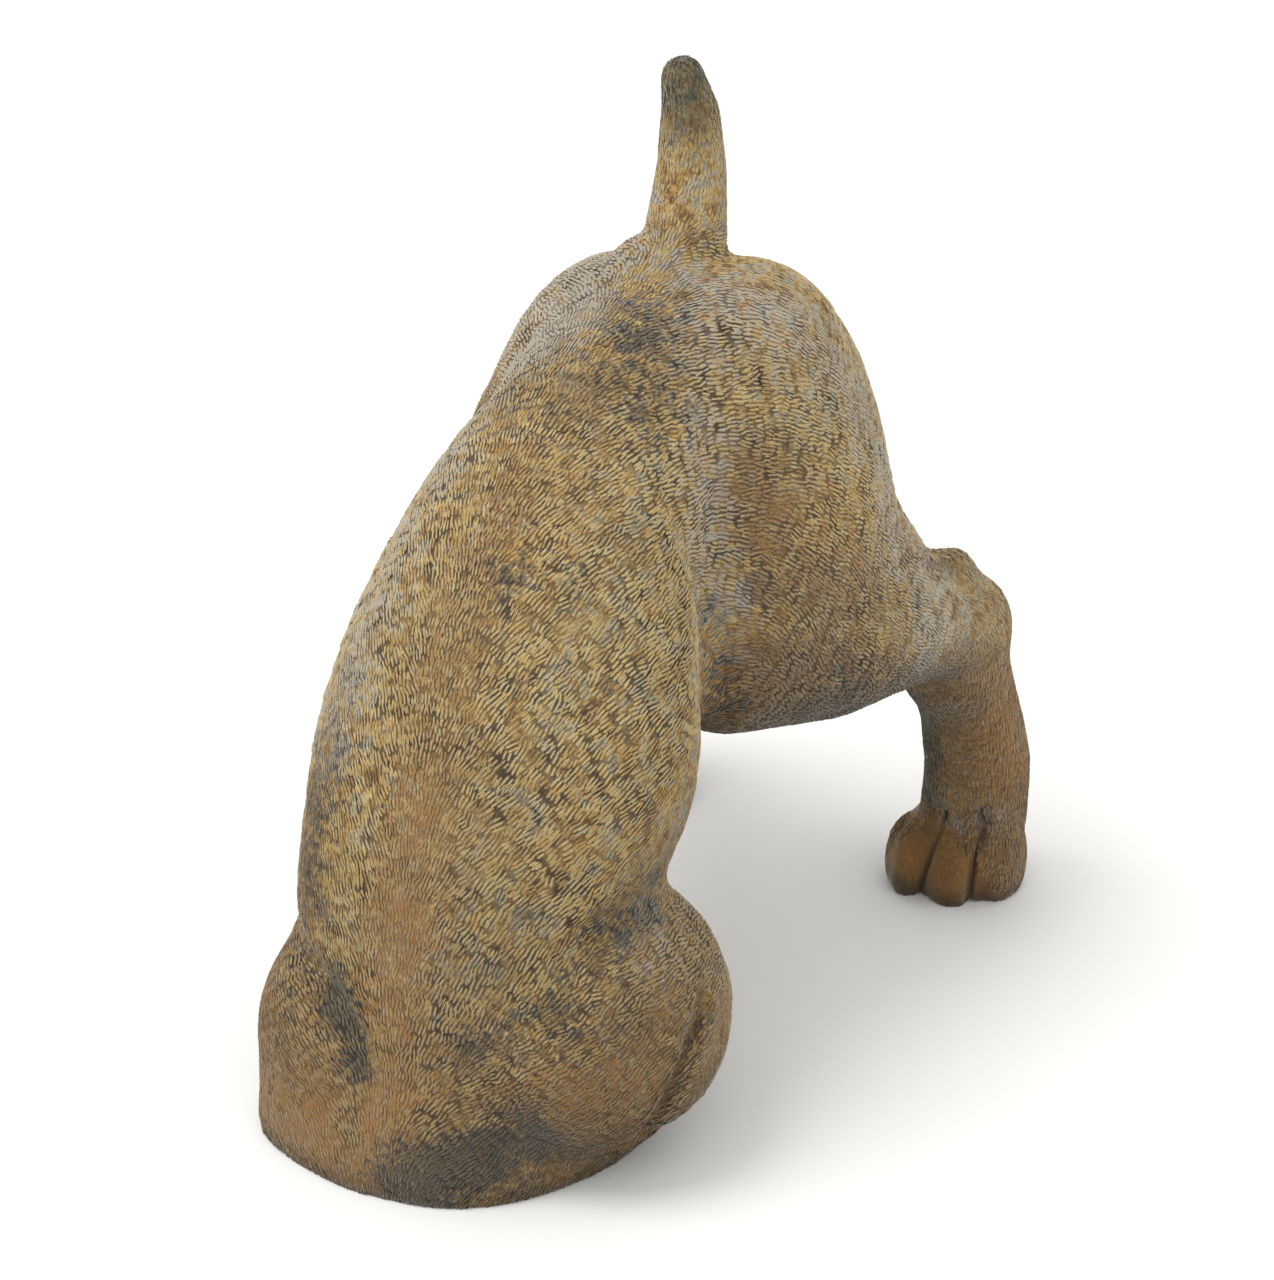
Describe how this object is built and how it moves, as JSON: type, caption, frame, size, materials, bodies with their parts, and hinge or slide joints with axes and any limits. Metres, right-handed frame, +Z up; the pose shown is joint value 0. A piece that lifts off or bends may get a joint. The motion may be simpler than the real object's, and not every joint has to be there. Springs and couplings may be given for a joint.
{
  "type": "concrete dog statue",
  "caption": "Cast concrete garden statue of a puppy digging: rump and tail up, hind paws on the ground, neck and shoulders cut flat where they go into it, short coat carved all over.",
  "frame": {"origin": "middle of the footprint's box on the ground, between the base of the neck and the hind paws", "axes": "+Z up along the tail, -Y from the hind paws towards the buried head, +X to the dog's left"},
  "size_m": [0.278, 0.4408, 0.4594],
  "materials": {
    "stained_concrete": "cast concrete with a short carved coat, stained ochre and brown with darker hollows and pale worn ridges, matt"
  },
  "bodies": {
    "root": {"dog_statue": "stained_concrete"}
  },
  "joints": []
}
